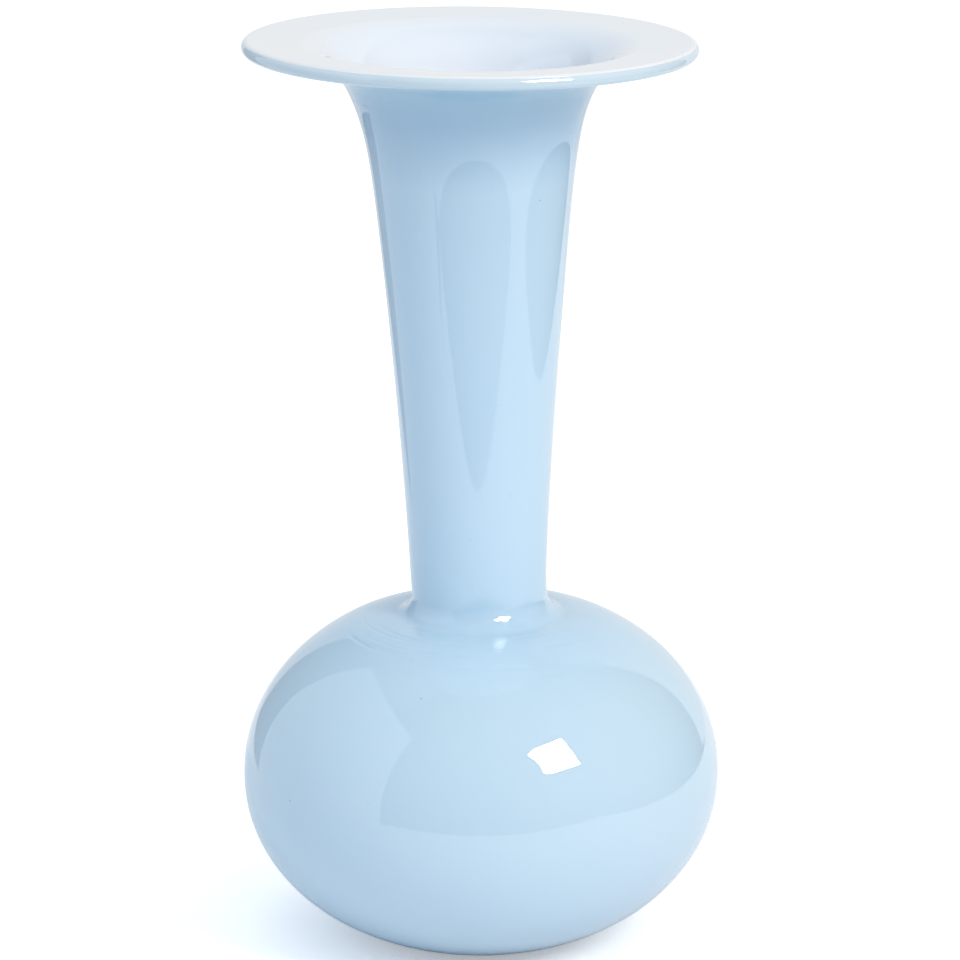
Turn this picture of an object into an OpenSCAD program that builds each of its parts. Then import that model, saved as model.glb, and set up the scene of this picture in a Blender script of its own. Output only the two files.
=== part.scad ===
// Blown vase of cased opaline glass. A squat bulb carries a tall neck that widens
// slowly and then turns out into a broad, nearly flat lip with a rounded edge.
// The blue outer gather and the white inner gather lie face to face all the way.
// Millimetres, +Z up. The origin is the centre of the foot, on the table.

/* [Overall] */
// Height from the table to the top of the lip
height = 250; // [230:1:270]

/* [Bulb] */
// Widest diameter of the bulb
bulb_d = 131.4; // [122:0.2:142]
// Height of the widest ring above the table
belly_z = 46.3; // [42:0.1:51]
// Rise of the shoulder curve from the widest ring to its crown inside the neck
shoulder_h = 50.1; // [46:0.1:56]
// Diameter inside which the shoulder sinks towards the neck
sink_d = 77.6; // [66:0.2:90]
// How far it has sunk where it would meet the neck
sink_h = 3.3; // [0:0.1:4.5]
// Diameter of the flat ground foot
foot_d = 40; // [32:1:50]
// Fullness of the bulb curve, where 2 is an ellipse and more is squarer
fullness = 2.1; // [2:0.02:2.3]
// Diameter of the shallow hollow ground into the middle of the foot
hollow_d = 24; // [16:1:28]
// Depth of that hollow
hollow_h = 1; // [0.6:0.1:1.6]

/* [Neck] */
// Diameter of the neck where it leaves the fillet
neck_d = 37.2; // [32:0.2:44]
// Radius of the fillet between the shoulder and the neck
fillet_r = 5.5; // [3:0.5:8]
// Growth of the neck's radius along its slow taper
taper_spread = 10.9; // [6:0.1:15]
// Power of the slow taper, where 1 is a straight cone
taper_power = 1.32; // [1:0.02:1.8]
// Extra growth of the radius in the bell under the lip
bell_spread = 4.1; // [2.5:0.1:5.5]
// Power of the bell, where more keeps it closer to the lip
bell_power = 14.2; // [11:0.2:20]
// Depth of the turned-out part below the top of the lip
turnout_h = 12.6; // [11.4:0.2:16]

/* [Lip] */
// Outer diameter of the lip
lip_d = 122; // [112:0.2:134]
// Thickness of the lip at its rounded edge
lip_t = 3.8; // [3:0.1:4.6]
// Rise of the flat part of the lip towards its edge, in degrees
lip_slope = 4; // [0:0.5:6]

/* [Walls] */
// Whole wall of the bulb at its side, both gathers together
bulb_wall = 2.9; // [2.4:0.1:3.6]
// Whole wall of the neck
neck_wall = 3.1; // [2.6:0.1:3.6]
// Whole thickness of glass over the middle of the foot
base_wall = 6.5; // [5:0.5:9]
// Thickness of the white inner gather
lining_wall = 1.2; // [0.8:0.1:1.5]
// Thickness that the white gather thins to at the lip's edge
lining_edge = 0.6; // [0.4:0.1:0.9]

/* [Hidden] */
$fn = 180;

// Steps along each stretch of the outline
under_steps = 14;
shoulder_steps = 18;
fillet_steps = 6;
neck_steps = 14;
turnout_steps = 8;
edge_steps = 8;
hollow_steps = 4;
search_steps = 30;

// Power that keeps the thick glass to the middle of the foot
base_power = 5;

bulb_r = bulb_d / 2;
sink_r = sink_d / 2;
neck_foot_r = neck_d / 2;
lip_r = lip_d / 2;
edge_r = lip_t / 2;

// The curve below the widest ring runs on to a lowest point under the foot's plane
foot_share = foot_d / bulb_d;
under_h = belly_z / pow(1 - pow(foot_share, fullness), 1 / fullness);
foot_angle = asin(pow(belly_z / under_h, fullness / 2));

function unit(v) = v / norm(v);
function blend(a, b, k) = a + (b - a) * k;

// Point and outward direction on the bulb curve, at angle t from its widest ring;
// rise is positive for the shoulder and negative for the curve below
function bulb_point(t, rise) = [
    bulb_r * pow(cos(t), 2 / fullness),
    belly_z + rise * pow(sin(t), 2 / fullness)
];
function bulb_normal(t, rise) = unit([
    pow(cos(t), 2 - 2 / fullness) / bulb_r,
    pow(sin(t), 2 - 2 / fullness) / rise
]);

// The shoulder follows that curve and sinks below it near the neck, ever more steeply
function sink_share(r) = max(0, sink_r - r) / (sink_r - neck_foot_r);
function shoulder_point(t) = let (p = bulb_point(t, shoulder_h))
    [p[0], p[1] - sink_h * pow(sink_share(p[0]), 2)];
function shoulder_normal(t) = let (
        n = bulb_normal(t, shoulder_h),
        share = sink_share(bulb_point(t, shoulder_h)[0]),
        slope = 2 * sink_h * share / (sink_r - neck_foot_r)
    ) unit([n[0] - n[1] * slope, n[1]]);

// Angle on the shoulder where a fillet that also touches the neck's foot touches it
function fillet_gap(t) = shoulder_point(t)[0] - neck_foot_r
    + fillet_r * (shoulder_normal(t)[0] - 1);
function touch_angle(low, high, left) = left == 0 ? (low + high) / 2 :
    fillet_gap((low + high) / 2) > 0 ? touch_angle((low + high) / 2, high, left - 1) :
    touch_angle(low, (low + high) / 2, left - 1);
shoulder_end = touch_angle(0, 90, search_steps);
fillet_normal = shoulder_normal(shoulder_end);
fillet_angle = atan2(fillet_normal[1], fillet_normal[0]);
fillet_centre = shoulder_point(shoulder_end) + fillet_r * fillet_normal;

// The neck runs from the fillet's centre height up to where the lip turns out
neck_foot_z = fillet_centre[1];
turnout_z = height - turnout_h;
neck_h = turnout_z - neck_foot_z;
function neck_r(u) = neck_foot_r + taper_spread * pow(u, taper_power)
    + bell_spread * pow(u, bell_power);
function neck_lean(u) = atan((taper_spread * taper_power * pow(u, taper_power - 1)
    + bell_spread * bell_power * pow(u, bell_power - 1)) / neck_h);

// Underside of the lip: an arc that leaves the neck smoothly and ends on the flat part
edge_centre = [lip_r - edge_r, height - edge_r];
under_edge = edge_centre + edge_r * [sin(lip_slope), -cos(lip_slope)];
turnout_start = 90 - neck_lean(1);
turnout_r = (under_edge[1] - turnout_z - (under_edge[0] - neck_r(1)) * tan(lip_slope))
    / (cos(lip_slope) - cos(turnout_start)
    - (sin(turnout_start) - sin(lip_slope)) * tan(lip_slope));

// A station is a point on the outside, its outward direction, the whole wall there
// and the white gather's share of that wall in millimetres
under_stations = [for (i = [0:under_steps])
    let (t = 90 * (1 - i / under_steps))
    [
        bulb_point(t, -under_h),
        bulb_normal(t, -under_h),
        blend(bulb_wall, base_wall + under_h - belly_z, pow(sin(t), base_power)),
        lining_wall
    ]];
shoulder_stations = [for (i = [1:shoulder_steps])
    let (t = shoulder_end * i / shoulder_steps)
    [
        shoulder_point(t),
        shoulder_normal(t),
        bulb_wall,
        lining_wall
    ]];
fillet_stations = [for (i = [1:fillet_steps])
    let (q = fillet_angle * (1 - i / fillet_steps), n = [cos(q), sin(q)])
    [
        fillet_centre - fillet_r * n,
        n,
        blend(bulb_wall, neck_wall, i / fillet_steps),
        lining_wall
    ]];
neck_stations = [for (i = [1:neck_steps])
    let (u = sin(90 * i / neck_steps), q = neck_lean(u))
    [
        [neck_r(u), neck_foot_z + neck_h * u],
        [cos(q), -sin(q)],
        neck_wall,
        lining_wall
    ]];
turnout_stations = [for (i = [1:turnout_steps])
    let (q = blend(turnout_start, lip_slope, i / turnout_steps))
    [
        [
            neck_r(1) + turnout_r * (sin(turnout_start) - sin(q)),
            turnout_z + turnout_r * (cos(q) - cos(turnout_start))
        ],
        [sin(q), -cos(q)],
        blend(neck_wall, lip_t, i / turnout_steps),
        lining_wall
    ]];
edge_station = [under_edge, [sin(lip_slope), -cos(lip_slope)], lip_t, lining_edge];
stations = concat(under_stations, shoulder_stations, fillet_stations,
    neck_stations, turnout_stations, [edge_station]);

// Where the two gathers meet, and the inside of the vase
function seam_point(s) = s[0] - s[1] * (s[2] - s[3]);
function inside_point(s) = s[0] - s[1] * s[2];
seam = [for (s = stations) seam_point(s)];
inside = [for (s = stations) inside_point(s)];

// The rounded edge, blue up to the seam and white above it
seam_angle = lip_slope + asin(1 - lining_edge / edge_r);
function edge_arc(from, to) = [for (i = [1:edge_steps - 1])
    let (q = blend(from, to, i / edge_steps))
    edge_centre + edge_r * [cos(q), sin(q)]];
seam_end = edge_centre + edge_r * [cos(seam_angle), sin(seam_angle)];
blue_edge = edge_arc(lip_slope - 90, seam_angle);
white_edge = edge_arc(seam_angle, lip_slope + 90);
seam_line = concat([for (i = [0:len(seam) - 2]) seam[i]], [seam_end]);

// The outside above the foot's plane, and the hollow under the foot
foot_stations = [for (i = [0:under_steps])
    let (t = foot_angle * (1 - i / under_steps))
    bulb_point(t, -under_h)];
outside = concat(foot_stations, [for (i = [under_steps + 1:len(stations) - 1]) stations[i][0]]);
hollow = [for (i = [0:hollow_steps])
    let (k = i / hollow_steps)
    [hollow_d / 2 * k, hollow_h * (1 - k * k)]];

function reversed(list) = [for (i = [len(list) - 1:-1:0]) list[i]];

module blue_casing() {
    color("#b9d8ef")
        rotate_extrude()
            polygon(concat(hollow, outside, blue_edge, reversed(seam_line)));
}

module opal_lining() {
    color("#eef1f4")
        rotate_extrude()
            polygon(concat(seam_line, white_edge, reversed(inside)));
}

blue_casing();
opal_lining();
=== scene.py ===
"""Dressed model of a blown vase in cased opaline glass, in metres, in the frame of its solids.

The vase is two gathers of glass: a light blue casing outside and a white lining inside. Both are
turned from one outline by a Geometry Nodes tree and then take the small leans and tool marks that
hand work leaves. The stage is a pale floor under soft studio light.
"""

import logging
import math
from dataclasses import dataclass, field
from enum import Enum

import bmesh
import bpy
import numpy as np
from mathutils import Matrix, Vector
from mathutils.bvhtree import BVHTree


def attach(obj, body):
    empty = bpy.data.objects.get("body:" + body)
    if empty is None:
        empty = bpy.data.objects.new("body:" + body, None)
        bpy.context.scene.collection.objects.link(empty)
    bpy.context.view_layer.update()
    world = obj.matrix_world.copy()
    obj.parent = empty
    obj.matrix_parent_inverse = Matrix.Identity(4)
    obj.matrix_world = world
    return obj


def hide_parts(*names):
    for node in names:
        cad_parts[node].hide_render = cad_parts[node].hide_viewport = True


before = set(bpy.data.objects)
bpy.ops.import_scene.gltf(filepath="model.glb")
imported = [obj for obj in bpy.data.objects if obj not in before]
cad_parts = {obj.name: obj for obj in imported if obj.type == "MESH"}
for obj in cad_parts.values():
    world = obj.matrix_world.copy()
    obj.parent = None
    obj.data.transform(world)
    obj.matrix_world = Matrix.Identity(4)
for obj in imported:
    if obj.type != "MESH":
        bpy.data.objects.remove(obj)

LOG = logging.getLogger("vase")
MM = 0.001
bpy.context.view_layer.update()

# Colour of the casing by height in millimetres: deepest in the bell under the lip, palest at
# the foot and on the lip's edge. The deep band is painted shade under the lip, and the pale
# foot is painted light from the floor.
BLUE_WITH_PAINTED_SHADING_BY_HEIGHT = (
    (0, "#c4e0f4"), (14, "#b9d1e2"), (80, "#b9d0dd"), (96, "#b6d1e3"), (213, "#b4cdde"),
    (231, "#9cbad1"), (241, "#9cbcd1"), (248, "#bfcfd8"), (250, "#c7d4da"),
)
# Colour of the lining by height: greyest where the throat turns out into the lip, and lighter
# deep in the throat, which is painted light for the light that comes through the glass there
WHITE_WITH_PAINTED_LIGHT_BY_HEIGHT = (
    (0, "#e6eaee"), (228, "#e6eaee"), (240, "#dde3e9"), (246, "#d9dfe5"), (249, "#dee0e1"),
    (250, "#dee0e1"),
)
# Colour of the gas seeds, the same all the way up
SEED_BY_HEIGHT = ((0, "#86a6c2"), (250, "#86a6c2"))


class Slot(Enum):
    """Material slots of the record, listed beside each gather; nothing reads them."""

    BLUE = "blue_opaline_glass"
    WHITE = "white_opal_glass"


class Gather(Enum):
    """The two gathers of glass, named as their solids are."""

    CASING = "blue_casing"
    LINING = "opal_lining"


def linear(hex_colour: str) -> tuple[float, float, float, float]:
    """Turn an sRGB hex colour into linear red, green, blue and alpha.

    Args:
        hex_colour: Colour written as "#rrggbb".

    Returns:
        The linear colour with alpha 1.
    """
    shares = [int(hex_colour[i : i + 2], 16) / 255 for i in (1, 3, 5)]
    # The sRGB curve is straight near black and a power above that
    lin = [s / 12.92 if s <= 0.04045 else ((s + 0.055) / 1.055) ** 2.4 for s in shares]
    return (*lin, 1.0)


def eased(share: np.ndarray) -> np.ndarray:
    """Bend shares from 0 to 1 so that they leave 0 and reach 1 level."""
    return share * share * (3 - 2 * share)


def add_node(tree: bpy.types.NodeTree, kind: str, ins: dict[str | int, object] | None = None,
             **settings: object) -> bpy.types.Node:
    """Add a node with its settings and links.

    Args:
        tree: Node tree that gets the node.
        kind: Blender's name of the node type.
        ins: For an input's name or index, its value or the output socket that is linked to it.
        **settings: Attributes of the node.

    Returns:
        The new node.
    """
    node = tree.nodes.new(kind)
    for name, setting in settings.items():
        setattr(node, name, setting)
    for key, value in (ins or {}).items():
        if isinstance(value, bpy.types.NodeSocket):
            tree.links.new(value, node.inputs[key])
        else:
            node.inputs[key].default_value = value
    return node


def blank_material(name: str) -> bpy.types.Material:
    """Make a material whose node tree is empty.

    Args:
        name: Name of the material.

    Returns:
        The material.
    """
    mat = bpy.data.materials.new(name)
    mat.use_nodes = True
    mat.node_tree.nodes.clear()
    return mat


def blank_tree(name: str, inputs: dict[str, str], output: str) -> bpy.types.NodeTree:
    """Make a Geometry Nodes tree that has its named sockets and no nodes.

    Args:
        name: Name of the tree.
        inputs: Name of each input and the kind of its socket.
        output: Name of the geometry that the tree gives.

    Returns:
        The tree.
    """
    tree = bpy.data.node_groups.new(name, "GeometryNodeTree")
    for key, kind in inputs.items():
        tree.interface.new_socket(key, in_out="INPUT", socket_type=kind)
    tree.interface.new_socket(output, in_out="OUTPUT", socket_type="NodeSocketGeometry")
    return tree


@dataclass(frozen=True)
class VaseSizes:
    """Sizes of the blown form in millimetres: its solids' own, and from foot_round on the scene's.

    Attributes:
        height: From the table to the top of the lip.
        bulb_d: Widest diameter of the bulb.
        belly_z: Height of the widest ring.
        shoulder_h: Rise of the shoulder curve from there to its crown inside the neck.
        sink_d: Diameter inside which the shoulder sinks towards the neck.
        sink_h: How far it has sunk where it would meet the neck.
        foot_d: Diameter of the flat ground foot.
        fullness: Power of the bulb curve, where 2 is an ellipse and more is squarer.
        hollow_d: Diameter of the shallow hollow ground into the foot.
        hollow_h: Depth of that hollow.
        neck_d: Diameter of the neck where it leaves the fillet.
        fillet_r: Radius of the fillet between the shoulder and the neck.
        taper_spread: Growth of the neck's radius along its slow taper.
        taper_power: Power of the slow taper, where 1 is a straight cone.
        bell_spread: Extra growth of the radius in the bell under the lip.
        bell_power: Power of the bell, where more keeps it closer to the lip.
        turnout_h: Depth of the turned-out part below the top of the lip.
        lip_d: Outer diameter of the lip.
        lip_t: Thickness of the lip at its rounded edge.
        lip_slope: Rise of the flat part of the lip towards its edge, in radians.
        bulb_wall: Whole wall of the bulb, both gathers together.
        neck_wall: Whole wall of the neck.
        base_wall: Whole thickness of glass over the middle of the foot.
        lining_wall: Thickness of the white gather.
        lining_edge: Thickness that it thins to at the lip's edge.
        base_power: Power that keeps the thick glass to the middle of the foot.
        foot_round: Radius of the melted corner of the foot.
        throat_thin: How much thinner than the neck the wall is where it turns out.
        throat_h: Height below the turn-out over which it thins.
        turnout_power: Power by which the wall then thickens to the lip's thickness.
    """

    height: float = 250.0
    bulb_d: float = 131.4
    belly_z: float = 46.3
    shoulder_h: float = 50.1
    sink_d: float = 77.6
    sink_h: float = 3.3
    foot_d: float = 40.0
    fullness: float = 2.1
    hollow_d: float = 24.0
    hollow_h: float = 1.0
    neck_d: float = 37.2
    fillet_r: float = 5.5
    taper_spread: float = 10.9
    taper_power: float = 1.32
    bell_spread: float = 4.1
    bell_power: float = 14.2
    turnout_h: float = 12.6
    lip_d: float = 122.0
    lip_t: float = 3.8
    lip_slope: float = math.radians(4)
    bulb_wall: float = 2.9
    neck_wall: float = 3.1
    base_wall: float = 6.5
    lining_wall: float = 1.2
    lining_edge: float = 0.6
    base_power: float = 5.0
    foot_round: float = 0.5
    throat_thin: float = 0.2
    throat_h: float = 6.4
    turnout_power: float = 2.5


def steps_along(count: int) -> np.ndarray:
    """Shares along a stretch of so many steps, up to 1 and without 0, where the last one ended."""
    return np.linspace(0, 1, count + 1)[1:]


def station_rows(points: np.ndarray, ways: np.ndarray, wall: np.ndarray | float,
                 white: np.ndarray | float) -> np.ndarray:
    """Join what the stations of one stretch hold.

    Args:
        points: Rows of radius and height on the outside.
        ways: Rows of the outward direction there.
        wall: Whole wall at each station, or one for all.
        white: The white gather's part of it at each station, or one for all.

    Returns:
        Rows of radius, height, direction out, direction up, whole wall and white wall.
    """
    count = len(points)
    walls = np.stack([np.broadcast_to(wall, count), np.broadcast_to(white, count)], -1)
    return np.concatenate([points, ways, walls], -1)


@dataclass
class Outline:
    """Half section of the vase as rows of radius and height in millimetres.

    Every station has a point on the outside, its outward direction, the whole wall there and the
    white gather's part of it, so the outside, the seam and the inside are offsets of one curve.

    Attributes:
        sizes: Sizes of the form.
        under_steps: Steps of the stretch under the widest ring, and so on for the others.
        shoulder_gather: Power that draws the shoulder's steps together near the neck, where the
            tool rings are.
        hidden_step: How many stations apart those are that the seam and the inside of the bulb
            take.
        halvings: How often the search for the fillet's place halves its range.
    """

    sizes: VaseSizes = field(default_factory=VaseSizes)
    under_steps: int = 48
    shoulder_steps: int = 190
    shoulder_gather: float = 1.35
    fillet_steps: int = 20
    neck_steps: int = 72
    turnout_steps: int = 30
    flange_steps: int = 10
    edge_steps: int = 18
    hollow_steps: int = 6
    foot_round_steps: int = 5
    hidden_step: int = 4
    halvings: int = 50

    def __post_init__(self) -> None:
        """Work out where the stretches meet, and then the stations of them all."""
        sizes = self.sizes
        self.bulb_r = sizes.bulb_d / 2
        self.neck_foot_r = sizes.neck_d / 2
        self.edge_r = sizes.lip_t / 2
        foot_share = sizes.foot_d / sizes.bulb_d
        self.under_h = sizes.belly_z / (1 - foot_share**sizes.fullness) ** (1 / sizes.fullness)
        self.foot_angle = math.asin((sizes.belly_z / self.under_h) ** (sizes.fullness / 2))
        self.touch = self._fillet_touch()
        point, way = self._shoulder(np.array(self.touch))
        self.fillet_centre = point + sizes.fillet_r * way
        self.fillet_angle = math.atan2(way[1], way[0])
        self.turn_z = sizes.height - sizes.turnout_h
        self.edge_centre = np.array([sizes.lip_d / 2 - self.edge_r, sizes.height - self.edge_r])
        self.flat_way = np.array([math.sin(sizes.lip_slope), -math.cos(sizes.lip_slope)])
        self.under_edge = self.edge_centre + self.edge_r * self.flat_way
        self.stations = self._all_stations()

    def _bulb(self, angle: np.ndarray, rise: float) -> tuple[np.ndarray, np.ndarray]:
        """Points and outward directions on the bulb curve.

        Args:
            angle: Angles in radians from the widest ring.
            rise: Height of the curve's crown above the widest ring, negative below it.

        Returns:
            Points and unit directions, each as rows of radius and height.
        """
        power = 2 / self.sizes.fullness
        out, up = np.clip(np.cos(angle), 0, 1), np.clip(np.sin(angle), 0, 1)
        points = np.stack([self.bulb_r * out**power, self.sizes.belly_z + rise * up**power], -1)
        ways = np.stack([out ** (2 - power) / self.bulb_r, up ** (2 - power) / rise], -1)
        return points, ways / np.linalg.norm(ways, axis=-1, keepdims=True)

    def _shoulder(self, angle: np.ndarray) -> tuple[np.ndarray, np.ndarray]:
        """Points and outward directions on the shoulder, which sinks near the neck.

        Args:
            angle: Angles in radians from the widest ring.

        Returns:
            Points and unit directions, each as rows of radius and height.
        """
        sizes = self.sizes
        points, ways = self._bulb(angle, sizes.shoulder_h)
        reach = sizes.sink_d / 2 - self.neck_foot_r
        share = np.clip(sizes.sink_d / 2 - points[..., 0], 0, None) / reach
        points = points - np.stack([0 * share, sizes.sink_h * share**2], -1)
        slope = 2 * sizes.sink_h * share / reach
        ways = np.stack([ways[..., 0] - ways[..., 1] * slope, ways[..., 1]], -1)
        return points, ways / np.linalg.norm(ways, axis=-1, keepdims=True)

    def _neck(self, rise: np.ndarray, neck_h: float) -> tuple[np.ndarray, np.ndarray]:
        """Radius and lean of the neck, which has a slow taper and a bell at its top.

        Args:
            rise: Shares of the neck's height.
            neck_h: That height in millimetres.

        Returns:
            Radii in millimetres, and angles from upright in radians.
        """
        sizes = self.sizes
        radius = (self.neck_foot_r + sizes.taper_spread * rise**sizes.taper_power
                  + sizes.bell_spread * rise**sizes.bell_power)
        taper = sizes.taper_spread * sizes.taper_power * rise ** (sizes.taper_power - 1)
        bell = sizes.bell_spread * sizes.bell_power * rise ** (sizes.bell_power - 1)
        return radius, np.arctan((taper + bell) / neck_h)

    def _fillet_touch(self) -> float:
        """Find where a fillet that also touches the neck's foot touches the shoulder.

        Returns:
            Angle in radians from the widest ring, found by halving.
        """
        low, high = 0.0, math.pi / 2
        for _ in range(self.halvings):
            middle = (low + high) / 2
            point, way = self._shoulder(np.array(middle))
            gap = point[0] - self.neck_foot_r + self.sizes.fillet_r * (way[0] - 1)
            low, high = (middle, high) if gap > 0 else (low, middle)
        return (low + high) / 2

    def _under_rows(self) -> np.ndarray:
        """Stations from the lowest point, on the axis, to the widest ring.

        Returns:
            Rows as station_rows gives them.
        """
        sizes = self.sizes
        angle = np.linspace(math.pi / 2, 0, self.under_steps + 1)
        thick = sizes.base_wall + self.under_h - sizes.belly_z
        wall = sizes.bulb_wall + (thick - sizes.bulb_wall) * np.sin(angle) ** sizes.base_power
        return station_rows(*self._bulb(angle, -self.under_h), wall, sizes.lining_wall)

    def _shoulder_rows(self) -> np.ndarray:
        """Stations from the widest ring to the fillet.

        Returns:
            Rows as station_rows gives them.
        """
        share = steps_along(self.shoulder_steps)
        angle = self.touch * (1 - (1 - share) ** self.shoulder_gather)
        return station_rows(*self._shoulder(angle), self.sizes.bulb_wall, self.sizes.lining_wall)

    def _fillet_rows(self) -> np.ndarray:
        """Stations round the fillet to the neck's foot.

        Returns:
            Rows as station_rows gives them.
        """
        sizes = self.sizes
        share = steps_along(self.fillet_steps)
        angle = self.fillet_angle * (1 - share)
        ways = np.stack([np.cos(angle), np.sin(angle)], -1)
        points = self.fillet_centre - sizes.fillet_r * ways
        wall = sizes.bulb_wall + (sizes.neck_wall - sizes.bulb_wall) * share
        return station_rows(points, ways, wall, sizes.lining_wall)

    def _neck_rows(self) -> np.ndarray:
        """Stations up the neck to where it turns out, closer together near the lip.

        Returns:
            Rows as station_rows gives them.
        """
        sizes = self.sizes
        foot_z = self.fillet_centre[1]
        neck_h = self.turn_z - foot_z
        rise = np.sin(np.linspace(0, math.pi / 2, self.neck_steps + 1)[1:])
        radius, lean = self._neck(rise, neck_h)
        height = foot_z + neck_h * rise
        throat = np.clip((height - self.turn_z) / sizes.throat_h + 1, 0, 1)
        wall = sizes.neck_wall - sizes.throat_thin * eased(throat)
        points = np.stack([radius, height], -1)
        ways = np.stack([np.cos(lean), -np.sin(lean)], -1)
        return station_rows(points, ways, wall, sizes.lining_wall)

    def _turnout_rows(self) -> np.ndarray:
        """Stations round the arc that leaves the neck smoothly and ends on the flat part.

        Returns:
            Rows as station_rows gives them.
        """
        sizes, slope = self.sizes, self.sizes.lip_slope
        neck_r, lean = self._neck(np.array(1.0), self.turn_z - self.fillet_centre[1])
        start = math.pi / 2 - lean
        run, rise = self.under_edge[0] - neck_r, self.under_edge[1] - self.turn_z
        arc_run, arc_rise = math.sin(start) - math.sin(slope), math.cos(slope) - math.cos(start)
        arc_r = (rise - run * math.tan(slope)) / (arc_rise - arc_run * math.tan(slope))
        share = steps_along(self.turnout_steps)
        angle = start + (slope - start) * share
        points = np.stack([neck_r + arc_r * (math.sin(start) - np.sin(angle)),
                           self.turn_z + arc_r * (np.cos(angle) - math.cos(start))], -1)
        ways = np.stack([np.sin(angle), -np.cos(angle)], -1)
        thin = sizes.neck_wall - sizes.throat_thin
        wall = thin + (sizes.lip_t - thin) * share**sizes.turnout_power
        return station_rows(points, ways, wall, sizes.lining_wall)

    def _flange_rows(self, start: np.ndarray) -> np.ndarray:
        """Stations along the flat part of the lip, over which the white gather thins.

        Args:
            start: Radius and height where the turn-out ends.

        Returns:
            Rows as station_rows gives them.
        """
        sizes = self.sizes
        share = steps_along(self.flange_steps)
        points = start + (self.under_edge - start) * share[:, None]
        ways = np.broadcast_to(self.flat_way, points.shape)
        white = sizes.lining_wall + (sizes.lining_edge - sizes.lining_wall) * share
        return station_rows(points, ways, sizes.lip_t, white)

    def _all_stations(self) -> np.ndarray:
        """Stations of every stretch, from under the foot to the lip's edge."""
        turnout = self._turnout_rows()
        return np.concatenate([
            self._under_rows(), self._shoulder_rows(), self._fillet_rows(), self._neck_rows(),
            turnout, self._flange_rows(turnout[-1, :2])])

    def _edge(self, start: float, end: float) -> np.ndarray:
        """Points on the rounded lip edge between two angles from level, both left out."""
        angle = np.linspace(start, end, self.edge_steps + 1)[1:-1]
        return self.edge_centre + self.edge_r * np.stack([np.cos(angle), np.sin(angle)], -1)

    def _seam(self) -> tuple[np.ndarray, float]:
        """Where the two gathers meet.

        Returns:
            Rows of radius and height, and the angle at which the seam comes out on the edge.
        """
        rows = np.concatenate([self.stations[: -1 : self.hidden_step], self.stations[-1:]])
        seam = rows[:, :2] - rows[:, 2:4] * (rows[:, 4:5] - rows[:, 5:6])
        angle = self.sizes.lip_slope + math.asin(1 - self.sizes.lining_edge / self.edge_r)
        end = self.edge_centre + self.edge_r * np.array([math.cos(angle), math.sin(angle)])
        return np.concatenate([seam[:-1], end[None]]), angle

    def _lining_section(self) -> np.ndarray:
        """Section of the lining: up the seam, over the edge and down the inside.

        Returns:
            Rows of radius and height in millimetres.
        """
        seam, angle = self._seam()
        white_edge = self._edge(angle, self.sizes.lip_slope + math.pi / 2)
        neck = self.under_steps + self.shoulder_steps + self.fillet_steps
        rows = np.concatenate([self.stations[: neck : self.hidden_step], self.stations[neck:]])
        inside = rows[:, :2] - rows[:, 2:4] * rows[:, 4:5]
        return np.concatenate([seam, white_edge, inside[::-1]])

    def _casing_section(self) -> np.ndarray:
        """Section of the casing: the foot, up the outside, round the edge and down the seam.

        Returns:
            Rows of radius and height in millimetres.
        """
        sizes = self.sizes
        share = np.linspace(0, 1, self.hollow_steps + 1)
        hollow = np.stack([sizes.hollow_d / 2 * share, sizes.hollow_h * (1 - share**2)], -1)
        angle = np.linspace(0, math.pi / 2, self.foot_round_steps + 1)[:-1]
        corner = np.stack([sizes.foot_d / 2 - sizes.foot_round * (1 - np.sin(angle)),
                           sizes.foot_round * (1 - np.cos(angle))], -1)
        angle = self.foot_angle * (1 - np.linspace(0, 1, self.under_steps + 1))
        foot, _ = self._bulb(angle, -self.under_h)
        foot = foot[foot[:, 1] > sizes.foot_round]
        outside = self.stations[self.under_steps + 1 :, :2]
        seam, seam_angle = self._seam()
        blue_edge = self._edge(sizes.lip_slope - math.pi / 2, seam_angle)
        return np.concatenate([hollow, corner, foot, outside, blue_edge, seam[::-1]])

    def section(self, gather: Gather) -> np.ndarray:
        """Closed half section of one gather in millimetres, from the axis round to the axis."""
        return self._lining_section() if gather is Gather.LINING else self._casing_section()


@dataclass(frozen=True)
class ToolRing:
    """Shallow ring that the jacks left part of the way round the shoulder.

    Attributes:
        radius: Distance from the axis at the ring's middle, in millimetres.
        depth: Depth in millimetres.
        width: Distance in millimetres over which it fades to about a third.
        middle: Where its middle lies, in degrees round from +X.
        reach: How many degrees it runs to either side before it has faded out.
        drift: How much further from the axis its end at the larger angle lies, in millimetres.
        skew: How much deeper it gets for each width towards the axis, as a share.
    """

    radius: float
    depth: float
    width: float
    middle: float
    reach: float
    drift: float = 0.0
    skew: float = 1.2

    def drop(self, radius: np.ndarray, turn: np.ndarray) -> np.ndarray:
        """How far the ring presses the glass down.

        Args:
            radius: Distances from the axis in millimetres.
            turn: Angles round from +X in radians.

        Returns:
            The drop at each point in millimetres.
        """
        off = np.degrees(np.angle(np.exp(1j * (turn - math.radians(self.middle)))))
        fade = eased(np.clip(1 - np.abs(off) / self.reach, 0, 1))
        away = (radius - self.radius - self.drift * off / self.reach) / self.width
        return self.depth * fade * np.exp(-(away**2)) * (1 - self.skew * away)


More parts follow.
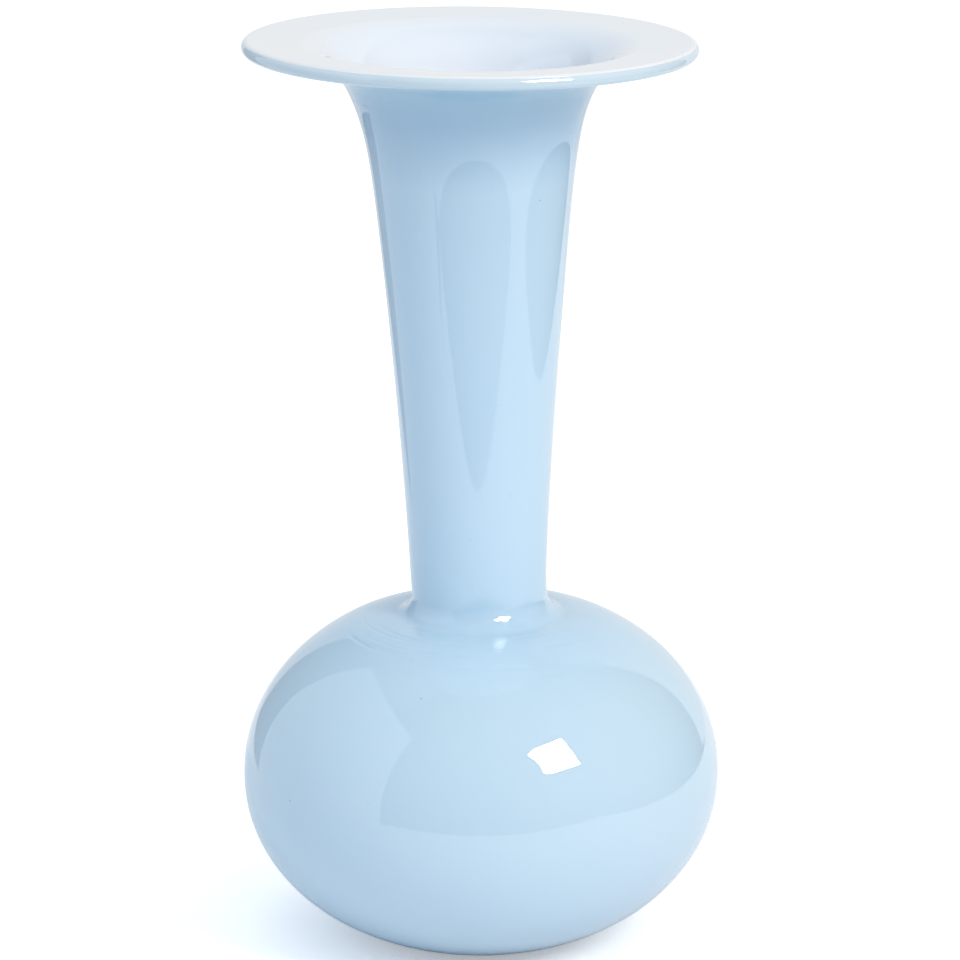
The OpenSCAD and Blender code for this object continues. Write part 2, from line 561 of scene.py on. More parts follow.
@dataclass(frozen=True)
class FormWave:
    """Slow unevenness of the form, in millimetres, where two spirals cross.

    Attributes:
        depth: Most that it adds to the radius or takes from it.
        rises: Height over which each spiral's phase moves by a radian.
        lobes: How many crests each has round the vase.
        fade_in: Height above the table over which it fades in.
        end_z: Height at which it has faded out.
        fade_out: Height over which it does.
    """

    depth: float = 0.03
    rises: tuple[float, float] = (41.0, 57.0)
    lobes: tuple[int, int] = (2, 3)
    fade_in: float = 30.0
    end_z: float = 236.0
    fade_out: float = 20.0

    def growth(self, z: np.ndarray, turn: np.ndarray) -> np.ndarray:
        """How much the wave adds to the radius.

        Args:
            z: Heights in millimetres.
            turn: Angles round from +X in radians.

        Returns:
            The growth at each point in millimetres.
        """
        first = np.sin(z / self.rises[0] + self.lobes[0] * turn)
        second = np.cos(self.lobes[1] * turn + z / self.rises[1])
        start = np.clip(z / self.fade_in, 0, 1)
        end = np.clip((self.end_z - z) / self.fade_out, 0, 1)
        return self.depth * first * second * start * end


@dataclass(frozen=True)
class HandWork:
    """Small departures from a true turned form, in millimetres, that hand blowing leaves.

    Attributes:
        lean: Height of each knot, and how far the axis has moved along X there.
        trim: Height of each knot, and how much the radius has grown there.
        softness: Spread of the bell curve that rounds these two at their knots.
        curve_step: Step at which they are worked out.
        curve_margin: How far past the foot and the lip they are worked out.
        axis_r: Radius inside which the growth fades out.
        axis_guard: Least radius that a growth is divided by.
        height: Height of the vase.
        rim_tilt: How much the lip drops along X and along Y, as shares.
        rim_from_z: Height at which the tilt starts.
        rim_r: Radius of the lip, of which the highest point stays where it is.
        wave: Slow unevenness of the form.
        rings_from_z: Height above which the rings press the glass.
        rings: Rings that the jacks left.
    """

    lean: tuple[tuple[float, float], ...] = (
        (0, -0.15), (20, -0.15), (46, 0.02), (82, 0.24), (92, -0.15), (103, -0.73),
        (130, -1.06), (183, -1.70), (222, -2.30), (232, -2.70), (250, -2.93),
    )
    trim: tuple[tuple[float, float], ...] = (
        (0, 0.0), (20, -0.48), (34, -0.46), (50, -0.30), (70, -0.42), (92, -0.04),
        (106, -0.14), (226, -0.12), (240, -0.06), (250, -0.18),
    )
    softness: float = 4.0
    curve_step: float = 0.5
    curve_margin: float = 20.0
    axis_r: float = 8.0
    axis_guard: float = 1.0
    height: float = VaseSizes.height
    rim_tilt: tuple[float, float] = (0.0080, 0.0033)
    rim_from_z: float = 225.0
    rim_r: float = VaseSizes.lip_d / 2
    wave: FormWave = field(default_factory=FormWave)
    rings_from_z: float = 80.0
    rings: tuple[ToolRing, ...] = (
        ToolRing(24.6, 0.04, 0.35, 285, 80, 0.4),
        ToolRing(26.0, 0.06, 0.40, 240, 70, 0.8),
        ToolRing(27.6, 0.05, 0.35, 300, 50, -0.5),
        ToolRing(30.6, 0.16, 0.40, 232, 46, 0.8),
        ToolRing(32.2, 0.08, 0.40, 218, 66, -0.6),
        ToolRing(33.8, 0.06, 0.40, 303, 48, 1.2),
        ToolRing(36.0, 0.06, 0.45, 250, 60, 1.0),
        ToolRing(38.4, 0.16, 0.45, 226, 40, 1.2),
        ToolRing(40.2, 0.08, 0.45, 268, 40, 0.3),
        ToolRing(43.0, 0.05, 0.55, 300, 60, -1.0),
    )

    def drawn(self, z: np.ndarray, knots: tuple[tuple[float, float], ...]) -> np.ndarray:
        """Read a curve of the height that bends softly at its knots.

        Args:
            z: Heights in millimetres.
            knots: Height and value of each knot.

        Returns:
            The value at each height.
        """
        step, margin = self.curve_step, self.curve_margin
        # Past three spreads the bell curve is next to nothing
        reach = 3 * self.softness
        heights = np.arange(-margin, self.height + margin + step, step)
        bell = np.exp(-((np.arange(-reach, reach + step, step) / self.softness) ** 2))
        soft = np.convolve(np.interp(heights, *zip(*knots)), bell / bell.sum(), "same")
        return np.interp(z, heights, soft)

    def apply(self, points: np.ndarray) -> np.ndarray:
        """Trim, wave, ring and lean the turned form, and tilt its lip a little.

        Args:
            points: Rows of x, y, z in millimetres.

        Returns:
            The moved rows.
        """
        out = points.copy()
        x, y, z = points.T
        radius = np.hypot(x, y)
        turn = np.arctan2(y, x)
        growth = self.drawn(z, self.trim) + self.wave.growth(z, turn)
        near = np.clip(radius / self.axis_r, 0, 1)
        out[:, :2] *= (1 + growth / np.maximum(radius, self.axis_guard) * near)[:, None]
        for ring in self.rings:
            out[:, 2] -= ring.drop(radius, turn) * (z > self.rings_from_z)
        out[:, 0] += self.drawn(z, self.lean)
        share = eased(np.clip((z - self.rim_from_z) / (self.height - self.rim_from_z), 0, 1))
        tilt_x, tilt_y = self.rim_tilt
        out[:, 2] -= share * (tilt_x * x + tilt_y * y + math.hypot(tilt_x, tilt_y) * self.rim_r)
        return out


@dataclass(frozen=True)
class Vase:
    """The two gathers of glass, turned from one outline and dressed.

    Attributes:
        outline: Half section of both.
        hand: What the hand leaves in them.
        turns: Steps of the mesh round the axis.
        weld: Distance in millimetres under which its points are merged.
    """

    outline: Outline = field(default_factory=Outline)
    hand: HandWork = field(default_factory=HandWork)
    turns: int = 200
    weld: float = 0.002

    def _turning_tree(self) -> bpy.types.NodeTree:
        """Geometry Nodes tree that turns a row of section points round the axis.

        Returns:
            The tree, with inputs for the steps round the axis and the material.
        """
        tree = blank_tree("turn_section", {
            "Section": "NodeSocketGeometry", "Steps round": "NodeSocketInt",
            "Material": "NodeSocketMaterial"}, "Turned")
        begin = add_node(tree, "NodeGroupInput")
        size = add_node(tree, "GeometryNodeAttributeDomainSize", component="MESH",
                        ins={"Geometry": begin.outputs["Section"]})
        columns = add_node(tree, "ShaderNodeMath", operation="ADD",
                           ins={0: begin.outputs["Steps round"], 1: 1.0})
        grid = add_node(tree, "GeometryNodeMeshGrid", ins={
            "Vertices X": columns.outputs[0], "Vertices Y": size.outputs["Point Count"]})
        index = add_node(tree, "GeometryNodeInputIndex")
        row = add_node(tree, "ShaderNodeMath", operation="MODULO",
                       ins={0: index.outputs[0], 1: size.outputs["Point Count"]})
        share = add_node(tree, "ShaderNodeMath", operation="DIVIDE",
                         ins={0: index.outputs[0], 1: size.outputs["Point Count"]})
        column = add_node(tree, "ShaderNodeMath", operation="FLOOR", ins={0: share.outputs[0]})
        turn = add_node(tree, "ShaderNodeMath", operation="DIVIDE",
                        ins={0: column.outputs[0], 1: begin.outputs["Steps round"]})
        angle = add_node(tree, "ShaderNodeMath", operation="MULTIPLY",
                         ins={0: turn.outputs[0], 1: math.tau})
        place = add_node(tree, "GeometryNodeInputPosition")
        sample = add_node(tree, "GeometryNodeSampleIndex", data_type="FLOAT_VECTOR",
                          domain="POINT", ins={"Geometry": begin.outputs["Section"],
                                               "Value": place.outputs[0],
                                               "Index": row.outputs[0]})
        spin = add_node(tree, "ShaderNodeVectorRotate", rotation_type="Z_AXIS",
                        ins={"Vector": sample.outputs["Value"], "Angle": angle.outputs[0]})
        move = add_node(tree, "GeometryNodeSetPosition", ins={
            "Geometry": grid.outputs["Mesh"], "Position": spin.outputs[0]})
        weld = add_node(tree, "GeometryNodeMergeByDistance",
                        ins={"Geometry": move.outputs[0], "Distance": self.weld * MM})
        smooth = add_node(tree, "GeometryNodeSetShadeSmooth", ins={"Geometry": weld.outputs[0]})
        real = add_node(tree, "GeometryNodeRealizeInstances",
                        ins={"Geometry": smooth.outputs[0]})
        dress = add_node(tree, "GeometryNodeSetMaterial", ins={
            "Geometry": real.outputs[0], "Material": begin.outputs["Material"]})
        add_node(tree, "NodeGroupOutput", ins={"Turned": dress.outputs[0]})
        return tree

    def turn(self, gather: Gather, name: str, material: bpy.types.Material) -> bpy.types.Object:
        """Turn one gather's section, work it by hand and make it a plain mesh.

        Args:
            gather: Which gather of glass.
            name: Name of the piece.
            material: Its finish.

        Returns:
            The piece, at the origin.
        """
        rows = [(r * MM, 0.0, z * MM) for r, z in self.outline.section(gather)]
        mesh = bpy.data.meshes.new(name + "_section")
        mesh.from_pydata(rows, [(i, i + 1) for i in range(len(rows) - 1)], [])
        piece = grown_piece(name, mesh, self._turning_tree(), material, {
            "Steps round": self.turns})
        flat = np.empty(len(piece.data.vertices) * 3)
        piece.data.vertices.foreach_get("co", flat)
        points = self.hand.apply(flat.reshape(-1, 3) / MM)
        piece.data.vertices.foreach_set("co", (points * MM).ravel())
        face_outwards(piece)
        return piece

    def build(self, blue: bpy.types.Material, white: bpy.types.Material) -> list[bpy.types.Object]:
        """Make both gathers and stand them in for their solids.

        Args:
            blue: Finish of the casing.
            white: Finish of the lining.

        Returns:
            The two pieces, the casing first.
        """
        pieces = []
        for gather, name, finish, slot in (
            (Gather.CASING, "casing_blue", blue, Slot.BLUE),
            (Gather.LINING, "lining_white", white, Slot.WHITE),
        ):
            piece = self.turn(gather, name, finish)
            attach(piece, "root")
            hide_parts(gather.value)
            pieces.append(piece)
        return pieces


def grown_piece(name: str, mesh: bpy.types.Mesh, tree: bpy.types.NodeTree,
                material: bpy.types.Material, inputs: dict[str, float]) -> bpy.types.Object:
    """Run a Geometry Nodes tree on a mesh and keep what it makes as a plain piece.

    Args:
        name: Name of the piece.
        mesh: Mesh that the tree starts from.
        tree: Tree with the named inputs and one called Material.
        material: Finish of the piece.
        inputs: Value of each other named input.

    Returns:
        The piece, at the origin.
    """
    holder = bpy.data.objects.new(name + "_start", mesh)
    bpy.context.collection.objects.link(holder)
    modifier = holder.modifiers.new("grow", "NODES")
    modifier.node_group = tree
    keys = {item.name: item.identifier for item in tree.interface.items_tree
            if item.in_out == "INPUT"}
    for key, value in {**inputs, "Material": material}.items():
        modifier[keys[key]] = value
    graph = bpy.context.evaluated_depsgraph_get()
    made = bpy.data.meshes.new_from_object(holder.evaluated_get(graph), depsgraph=graph)
    bpy.data.objects.remove(holder)
    made.name = name
    made.materials.clear()
    made.materials.append(material)
    made.polygons.foreach_set("material_index", [0] * len(made.polygons))
    piece = bpy.data.objects.new(name, made)
    bpy.context.collection.objects.link(piece)
    return piece


def face_outwards(piece: bpy.types.Object) -> None:
    """Point a closed mesh's faces outwards and shade it smooth.

    Args:
        piece: Object whose mesh is changed.
    """
    work = bmesh.new()
    work.from_mesh(piece.data)
    bmesh.ops.recalc_face_normals(work, faces=work.faces)
    for face in work.faces:
        face.smooth = True
    work.to_mesh(piece.data)
    work.free()


@dataclass(frozen=True)
class GasSeeds:
    """Small gas seeds in the casing, which stand a little proud of it, in millimetres.

    Attributes:
        placed: Degrees round from +X, height and radius of the seeds that are set one by one.
        count: Number of seeds that are scattered beside them.
        lowest: Least height of a scattered seed.
        highest: Greatest height of one.
        smallest: Least radius of one.
        largest: Greatest radius of one.
        flatness: Share of its radius that a seed stands out.
        random_seed: Start of the random draws.
        rounds: Subdivisions of the ball that every seed is.
        clear_r: Distance from the axis that is outside the vase at any height.
    """

    placed: tuple[tuple[float, float, float], ...] = (
        (218.3, 50.5, 0.22), (251.0, 80.8, 0.20), (307.5, 210.0, 0.20))
    count: int = 28
    lowest: float = 12.0
    highest: float = 225.0
    smallest: float = 0.05
    largest: float = 0.12
    flatness: float = 0.45
    random_seed: int = 11
    rounds: int = 3
    clear_r: float = 100.0

    def _tree(self) -> bpy.types.NodeTree:
        """Geometry Nodes tree that sets a flattened ball on every point.

        Returns:
            The tree, with an input for the flatness and one for the material.
        """
        tree = blank_tree("set_seeds", {
            "Points": "NodeSocketGeometry", "Flatness": "NodeSocketFloat",
            "Material": "NodeSocketMaterial"}, "Seeds")
        begin = add_node(tree, "NodeGroupInput")
        size = add_node(tree, "GeometryNodeInputNamedAttribute", data_type="FLOAT",
                        ins={"Name": "size"}).outputs["Attribute"]
        way = add_node(tree, "GeometryNodeInputNamedAttribute", data_type="FLOAT_VECTOR",
                       ins={"Name": "way"}).outputs["Attribute"]
        flat = add_node(tree, "ShaderNodeMath", operation="MULTIPLY",
                        ins={0: size, 1: begin.outputs["Flatness"]}).outputs[0]
        scale = add_node(tree, "ShaderNodeCombineXYZ", ins={0: size, 1: size, 2: flat})
        turn = add_node(tree, "FunctionNodeAlignRotationToVector", axis="Z", ins={"Vector": way})
        ball = add_node(tree, "GeometryNodeMeshIcoSphere",
                        ins={"Radius": 1.0, "Subdivisions": self.rounds})
        put = add_node(tree, "GeometryNodeInstanceOnPoints", ins={
            "Points": begin.outputs["Points"], "Instance": ball.outputs["Mesh"],
            "Rotation": turn.outputs[0], "Scale": scale.outputs[0]})
        real = add_node(tree, "GeometryNodeRealizeInstances", ins={"Geometry": put.outputs[0]})
        dress = add_node(tree, "GeometryNodeSetMaterial", ins={
            "Geometry": real.outputs[0], "Material": begin.outputs["Material"]})
        add_node(tree, "NodeGroupOutput", ins={"Seeds": dress.outputs[0]})
        return tree

    def scatter(self, casing: bpy.types.Object, material: bpy.types.Material) -> bpy.types.Object:
        """Set the seeds on the casing's outside.

        Args:
            casing: Piece that the seeds lie in.
            material: Their finish.

        Returns:
            The seeds as one piece.
        """
        chance = np.random.default_rng(self.random_seed)
        spots = list(self.placed) + [
            (chance.uniform(0, 360), chance.uniform(self.lowest, self.highest),
             chance.uniform(self.smallest, self.largest)) for _ in range(self.count)]
        skin = BVHTree.FromPolygons([v.co for v in casing.data.vertices],
                                    [tuple(p.vertices) for p in casing.data.polygons])
        points, ways = [], []
        for azimuth, z, _ in spots:
            out = Vector((math.cos(math.radians(azimuth)), math.sin(math.radians(azimuth)), 0.0))
            start = out * (self.clear_r * MM) + Vector((0, 0, z * MM))
            hit, normal, _, _ = skin.ray_cast(start, -out)
            points.append(hit)
            ways.append(normal if normal.dot(out) > 0 else -normal)
        mesh = bpy.data.meshes.new("seed_points")
        mesh.from_pydata(points, [], [])
        sizes = mesh.attributes.new("size", "FLOAT", "POINT")
        sizes.data.foreach_set("value", [size * MM for _, _, size in spots])
        normals = mesh.attributes.new("way", "FLOAT_VECTOR", "POINT")
        normals.data.foreach_set("vector", np.array(ways).ravel())
        piece = grown_piece("gas_seeds", mesh, self._tree(), material, {
            "Flatness": self.flatness})
        face_outwards(piece)
        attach(piece, "root")
        return piece


@dataclass(frozen=True)
class OpalineFinish:
    """Opaque coloured glass with a fire-polished surface and a ground ring under the foot.

    Attributes:
        name: Name of the material.
        heights: Height in millimetres and colour of each stop, painted shade and light included.
        tint: What the clouds and streaks multiply the colour by where they are full.
        cloud_size: Size of the clouds in millimetres.
        cloud_share: How strong the clouds are.
        streak_size: Width of the drawn-out streaks in millimetres.
        streak_share: How strong the streaks are.
        streak_rise: Scale of the streaks up the vase, as a share of that across it.
        detail: Octaves of finer noise in both.
        roughness: Roughness of the fire polish.
        ground_roughness: Roughness of the ground ring.
        ground_r: Radius in millimetres inside which the glass is ground.
        ground_z: Height in millimetres under which it is.
        ior: Index of refraction of opal glass.
    """

    name: str
    heights: tuple[tuple[float, str], ...]
    tint: str
    cloud_size: float = 30.0
    cloud_share: float = 0.10
    streak_size: float = 1.6
    streak_share: float = 0.07
    streak_rise: float = 0.03
    detail: float = 2.0
    roughness: float = 0.02
    ground_roughness: float = 0.45
    ground_r: float = 19.8
    ground_z: float = 1.2
    ior: float = 1.56

    def _colour(self, tree: bpy.types.NodeTree, place: bpy.types.NodeSocket,
                height: bpy.types.NodeSocket) -> bpy.types.NodeSocket:
        """Colour by height with its painted shading, tinted a little by clouds and streaks.

        Args:
            tree: Node tree of the material.
            place: Object coordinates.
            height: Their Z.

        Returns:
            The colour.
        """
        top = self.heights[-1][0]
        part = add_node(tree, "ShaderNodeMapRange", ins={
            "Value": height, "From Max": top * MM}).outputs[0]
        ramp = add_node(tree, "ShaderNodeValToRGB", ins={0: part})
        stops = ramp.color_ramp.elements
        stops.remove(stops[-1])
        stops[0].color = linear(self.heights[0][1])
        for z, colour in self.heights[1:]:
            stops.new(z / top).color = linear(colour)
        drawn = add_node(tree, "ShaderNodeMapping", ins={
            "Vector": place, "Scale": (1.0, 1.0, self.streak_rise)}).outputs[0]
        share = 0.0
        for where, size, strength in ((place, self.cloud_size, self.cloud_share),
                                      (drawn, self.streak_size, self.streak_share)):
            noise = add_node(tree, "ShaderNodeTexNoise", ins={
                "Vector": where, "Scale": 1 / (size * MM), "Detail": self.detail})
            share = add_node(tree, "ShaderNodeMath", operation="MULTIPLY_ADD", use_clamp=True, ins={
                0: noise.outputs["Fac"], 1: strength, 2: share}).outputs[0]
        return add_node(tree, "ShaderNodeMix", data_type="RGBA", blend_type="MULTIPLY", ins={
            0: share, 6: ramp.outputs["Color"], 7: linear(self.tint)}).outputs[2]

    def _gloss(self, tree: bpy.types.NodeTree, place: bpy.types.NodeSocket,
               height: bpy.types.NodeSocket) -> bpy.types.NodeSocket:
        """Roughness, which is that of the fire polish but on the ground ring.

        Args:
            tree: Node tree of the material.
            place: Object coordinates.
            height: Their Z.

        Returns:
            The roughness.
        """
        level = add_node(tree, "ShaderNodeVectorMath", operation="MULTIPLY",
                         ins={0: place, 1: (1.0, 1.0, 0.0)})
        radius = add_node(tree, "ShaderNodeVectorMath", operation="LENGTH",
                          ins={0: level.outputs[0]}).outputs["Value"]
        inner = add_node(tree, "ShaderNodeMath", operation="LESS_THAN",
                         ins={0: radius, 1: self.ground_r * MM})
        low = add_node(tree, "ShaderNodeMath", operation="LESS_THAN",
                       ins={0: height, 1: self.ground_z * MM})
        ground = add_node(tree, "ShaderNodeMath", operation="MULTIPLY",
                          ins={0: inner.outputs[0], 1: low.outputs[0]})
        return add_node(tree, "ShaderNodeMapRange", ins={
            "Value": ground.outputs[0], "To Min": self.roughness,
            "To Max": self.ground_roughness}).outputs[0]

    def build(self) -> bpy.types.Material:
        """Make the material.

        Returns:
            The material, with its pattern scales taken from real sizes.
        """
        mat = blank_material(self.name)
        tree = mat.node_tree
        place = add_node(tree, "ShaderNodeTexCoord").outputs["Object"]
        height = add_node(tree, "ShaderNodeSeparateXYZ", ins={0: place}).outputs["Z"]
        shader = add_node(tree, "ShaderNodeBsdfPrincipled", ins={
            "Base Color": self._colour(tree, place, height),
            "Roughness": self._gloss(tree, place, height), "IOR": self.ior})
        add_node(tree, "ShaderNodeOutputMaterial", ins={"Surface": shader.outputs[0]})
        return mat


def stage_surface(name: str, faces: list[list[Vector]],
                  material: bpy.types.Material) -> bpy.types.Object:
    """Lay a flat stage surface of one or more faces.

    Args:
        name: Name of the surface.
        faces: Corners of each face, in metres.
        material: Its finish.

    Returns:
        The surface.
    """
    corners = [corner for face in faces for corner in face]
    starts = np.cumsum([0] + [len(face) for face in faces])
    mesh = bpy.data.meshes.new(name)
    mesh.from_pydata(corners, [], [tuple(range(a, b)) for a, b in zip(starts, starts[1:])])
    mesh.materials.append(material)
    surface = bpy.data.objects.new(name, mesh)
    bpy.context.collection.objects.link(surface)
    return surface


@dataclass(frozen=True)
class MirrorCard:
    """White card that only mirror images show.

    Attributes:
        name: Name of the card.
        corner: One corner in metres.
        side_u: Its first side from there.
        side_v: Its second side from there.
        radiance: How bright it is, or only its foot if it fades upwards.
        top_radiance: How bright its top is then.
        corner_shares: Corners of its outline, as shares of the two sides.
    """

    name: str
    corner: tuple[float, float, float]
    side_u: tuple[float, float, float]
    side_v: tuple[float, float, float]
    radiance: float
    top_radiance: float | None = None
    corner_shares: tuple[tuple[float, float], ...] = ((0, 0), (1, 0), (1, 1), (0, 1))

    def stand(self) -> None:
        """Make the card."""
        mat = blank_material(self.name)
        mat.cycles.emission_sampling = "NONE"
        tree = mat.node_tree
        strength = self.radiance
        if self.top_radiance is not None:
            place = add_node(tree, "ShaderNodeTexCoord").outputs["Object"]
            height = add_node(tree, "ShaderNodeSeparateXYZ", ins={0: place}).outputs["Z"]
            strength = add_node(tree, "ShaderNodeMapRange", interpolation_type="SMOOTHSTEP", ins={
                "Value": height, "From Min": 0.0, "From Max": self.corner[2] + self.side_v[2],
                "To Min": self.radiance, "To Max": self.top_radiance}).outputs[0]
        glow = add_node(tree, "ShaderNodeEmission", ins={"Strength": strength})
        add_node(tree, "ShaderNodeOutputMaterial", ins={"Surface": glow.outputs[0]})
        corner, u, v = Vector(self.corner), Vector(self.side_u), Vector(self.side_v)
        outline = [corner + a * u + b * v for a, b in self.corner_shares]
        card = stage_surface(self.name, [outline], mat)
        card.visible_camera = card.visible_diffuse = card.visible_shadow = False


@dataclass(frozen=True)
class SoftBox:
    """A soft box that lights the vase, and its bright face as mirror images show it.

    Attributes:
        corner: One corner in metres.
        side_u: Its first side from there.
        side_v: Its second side from there.
        radiance: How bright it is as a light.
        tint: Colour of its light.
        face_radiance: How bright its mirror image is.
        face_shares: Corners of the mirrored face as shares of the sides, which make the highlight
            on the bulb a little uneven.
    """

    corner: tuple[float, float, float] = (0.7035, -1.0225, 0.686)
    side_u: tuple[float, float, float] = (0.234, 0.252, 0.0)
    side_v: tuple[float, float, float] = (-0.169, 0.187, 0.338)
    radiance: float = 16.0
    tint: str = "#fff1e4"
    face_radiance: float = 120.0
    face_shares: tuple[tuple[float, float], ...] = (
        (0.14, 0.02), (1.15, 0.07), (0.97, 1.06), (0.01, 1.02), (-0.30, 0.91), (-0.10, 0.46),
        (-0.11, 0.11),
    )

    def hang(self) -> None:
        """Make the light, which faces against the cross product of its sides."""
        corner, u, v = Vector(self.corner), Vector(self.side_u), Vector(self.side_v)
        data = bpy.data.lights.new("soft_box", "AREA")
        data.shape, data.size, data.size_y = "RECTANGLE", u.length, v.length
        data.energy = self.radiance * math.pi * u.length * v.length
        data.color = linear(self.tint)[:3]
        light = bpy.data.objects.new("soft_box", data)
        axes = Matrix((u.normalized(), v.normalized(), u.cross(v).normalized())).transposed()
        light.rotation_euler = axes.to_euler()
        light.location = corner + u / 2 + v / 2
        light.visible_camera = light.visible_glossy = False
        bpy.context.collection.objects.link(light)

    def face(self) -> MirrorCard:
        """The card that stands for the soft box in mirror images."""
        return MirrorCard("soft_box_face", self.corner, self.side_u, self.side_v,
                          self.face_radiance, corner_shares=self.face_shares)


@dataclass(frozen=True)
class RoomWash:
    """Light that one side of the room gives back, which falls off towards the other side.

    Attributes:
        towards: Direction of that side.
        radiance: How bright it is.
        tint: Colour of its light.
        narrowness: Power that draws the light together round its direction.
    """

    towards: tuple[float, float, float]
    radiance: float
    tint: str = "#ffffff"
    narrowness: float = 1.0


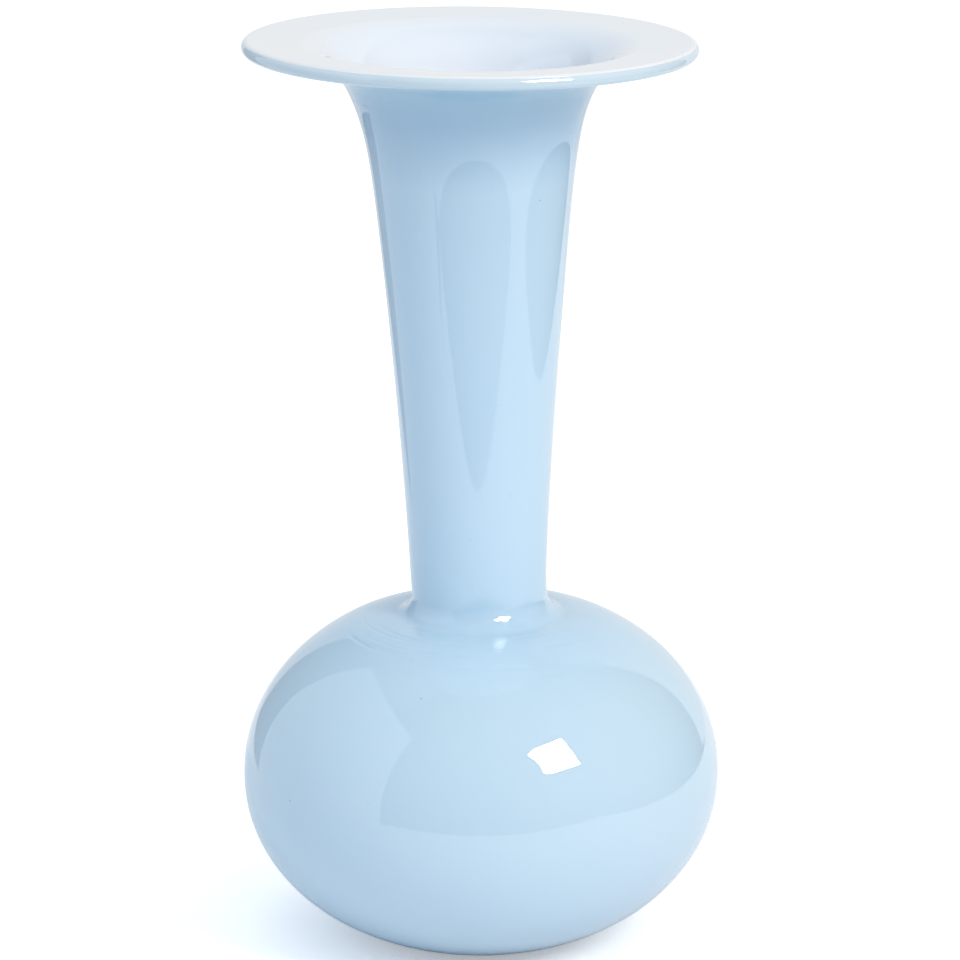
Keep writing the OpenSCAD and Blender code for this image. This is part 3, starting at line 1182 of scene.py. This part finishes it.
@dataclass(frozen=True)
class Studio:
    """Pale floor, soft lights, white cards and the camera.

    Attributes:
        eye: Place of the camera in metres.
        pitch: How many degrees the camera looks down.
        lens: Focal length in millimetres.
        sensor: Width of the sensor in millimetres.
        clip: Nearest and furthest that the camera sees, in metres.
        near_floor: Half the width of the floor that mirror images show, in metres.
        far_floor: Half the width of the whole floor, in metres.
        floor_colour: Colour of the floor.
        floor_lift: Radiance that the camera sees added to it.
        room_radiance: How bright mirror images show the room.
        key: The soft box.
        washes: Light from the sides of the room.
        cards: Cards whose mirror images are the arches on the neck and the panels on the bulb.
    """

    eye: tuple[float, float, float] = (-0.00027, -1.2665, 0.4551)
    pitch: float = 14.450
    lens: float = 180.43
    sensor: float = 36.0
    clip: tuple[float, float] = (0.05, 50.0)
    near_floor: float = 0.20
    far_floor: float = 6.0
    floor_colour: str = "#f6f6f6"
    floor_lift: float = 0.34
    room_radiance: float = 0.05
    key: SoftBox = field(default_factory=SoftBox)
    washes: tuple[RoomWash, ...] = (
        RoomWash((1.0, 0.0, 0.0), 0.26, "#ffede6"),
        RoomWash((-1.0, 0.0, 0.0), 0.22, "#63bfff"),
        RoomWash((0.0, -1.0, 0.0), 0.48, "#e3f0ff"),
        RoomWash((0.0, 0.0, 1.0), 1.13, "#fbffff", 4.5),
    )
    cards: tuple[MirrorCard, ...] = (
        MirrorCard("table_card", (-0.40, -0.448, -0.042), (1.015, 0.0, 0.0), (0.0, 1.248, 0.0), 1.05),
        MirrorCard("left_card", (-0.40, 0.32, -0.045), (0.0, -0.71, 0.0), (0.0, 0.0, 0.705), 1.05),
        MirrorCard("left_wall", (-0.405, 0.80, -0.045), (0.0, -0.90, 0.0), (0.0, 0.0, 1.445), 0.42),
        MirrorCard("back_card", (0.80, 0.80, -0.045), (-1.64, 0.0, 0.0), (0.0, 0.0, 1.745), 0.90,
                   0.40),
    )

    def camera(self) -> None:
        """Put the camera where the photograph was taken from."""
        data = bpy.data.cameras.new("camera")
        data.lens, data.sensor_width = self.lens, self.sensor
        data.clip_start, data.clip_end = self.clip
        cam = bpy.data.objects.new("camera", data)
        cam.location = self.eye
        cam.rotation_euler = (math.radians(90 - self.pitch), 0.0, 0.0)
        bpy.context.collection.objects.link(cam)
        bpy.context.scene.camera = cam

    def floor(self) -> None:
        """Lay the pale floor, of which mirror images show only the part round the foot."""
        paint = blank_material("pale_floor")
        paint.cycles.emission_sampling = "NONE"
        tree = paint.node_tree
        matt = add_node(tree, "ShaderNodeBsdfDiffuse", ins={"Color": linear(self.floor_colour)})
        path = add_node(tree, "ShaderNodeLightPath")
        lift = add_node(tree, "ShaderNodeMath", operation="MULTIPLY",
                        ins={0: path.outputs["Is Camera Ray"], 1: self.floor_lift})
        glow = add_node(tree, "ShaderNodeEmission", ins={"Strength": lift.outputs[0]})
        both = add_node(tree, "ShaderNodeAddShader", ins={0: matt.outputs[0], 1: glow.outputs[0]})
        add_node(tree, "ShaderNodeOutputMaterial", ins={"Surface": both.outputs[0]})
        near, far = self.near_floor, self.far_floor
        ring = [Vector((x * near, y * near, 0)) for x, y in ((-1, -1), (1, -1), (1, 1), (-1, 1))]
        wide = [corner * (far / near) for corner in ring]
        stage_surface("floor_near", [ring], paint)
        outer = stage_surface("floor_far", [[wide[i - 1], wide[i], ring[i], ring[i - 1]]
                                            for i in range(len(ring))], paint)
        outer.visible_glossy = False

    def sky(self) -> None:
        """Wash the room with soft light; mirror images show it dim and the camera plain white."""
        world = bpy.data.worlds.new("studio")
        world.use_nodes = True
        bpy.context.scene.world = world
        tree = world.node_tree
        tree.nodes.clear()
        way = add_node(tree, "ShaderNodeTexCoord").outputs["Generated"]
        total = None
        for wash in self.washes:
            # The dot product's -1 to 1 becomes 0, away from that side, to 1, towards it
            along = add_node(tree, "ShaderNodeVectorMath", operation="DOT_PRODUCT",
                             ins={0: way, 1: wash.towards}).outputs["Value"]
            near = add_node(tree, "ShaderNodeMath", operation="MULTIPLY_ADD", use_clamp=True,
                            ins={0: along, 1: 0.5, 2: 0.5}).outputs[0]
            lobe = add_node(tree, "ShaderNodeMath", operation="POWER",
                            ins={0: near, 1: wash.narrowness}).outputs[0]
            share = add_node(tree, "ShaderNodeMath", operation="MULTIPLY",
                             ins={0: lobe, 1: wash.radiance}).outputs[0]
            glow = add_node(tree, "ShaderNodeVectorMath", operation="SCALE", ins={
                0: linear(wash.tint)[:3], "Scale": share}).outputs[0]
            if total is not None:
                glow = add_node(tree, "ShaderNodeVectorMath", operation="ADD",
                                ins={0: total, 1: glow}).outputs[0]
            total = glow
        path = add_node(tree, "ShaderNodeLightPath")
        soft = add_node(tree, "ShaderNodeBackground", ins={"Color": total})
        dim = add_node(tree, "ShaderNodeBackground", ins={
            "Color": linear("#ffffff"), "Strength": self.room_radiance})
        white = add_node(tree, "ShaderNodeBackground", ins={"Color": linear("#ffffff")})
        mirrored = add_node(tree, "ShaderNodeMixShader", ins={
            0: path.outputs["Is Glossy Ray"], 1: soft.outputs[0], 2: dim.outputs[0]})
        seen = add_node(tree, "ShaderNodeMixShader", ins={
            0: path.outputs["Is Camera Ray"], 1: mirrored.outputs[0], 2: white.outputs[0]})
        add_node(tree, "ShaderNodeOutputWorld", ins={"Surface": seen.outputs[0]})
        world.cycles.sampling_method = "NONE"

    def build(self) -> None:
        """Make the stage."""
        scene = bpy.context.scene
        scene.view_settings.view_transform = "Standard"
        scene.cycles.use_denoising = True
        self.camera()
        self.floor()
        self.sky()
        self.key.hang()
        for card in (*self.cards, self.key.face()):
            card.stand()


def main() -> None:
    """Build the stage and the vase in order and report each piece."""
    logging.basicConfig(level=logging.INFO, format="%(name)s: %(message)s")
    Studio().build()
    # Milky blue with a hard, wet gloss that mirrors the room, and no grain
    # Its colour holds painted shade under the lip and painted light at the foot
    blue = OpalineFinish("fire_polished_blue_opaline", BLUE_WITH_PAINTED_SHADING_BY_HEIGHT, tint="#ddeffa").build()
    # Dense milky white with the same gloss, a little blue where it is cloudy
    # Its colour holds painted light deep in the throat
    white = OpalineFinish("fire_polished_white_opal", WHITE_WITH_PAINTED_LIGHT_BY_HEIGHT, tint="#e7f3fe").build()
    # A darker pin-prick of the same glass, where a bubble has thinned it
    speck = OpalineFinish("gas_seed_in_opaline", SEED_BY_HEIGHT, tint="#e6eef6").build()
    pieces = Vase().build(blue, white)
    pieces.append(GasSeeds().scatter(pieces[0], speck))
    for piece in pieces:
        LOG.info("%s: %d faces", piece.name, len(piece.data.polygons))


if __name__ == "__main__":
    main()
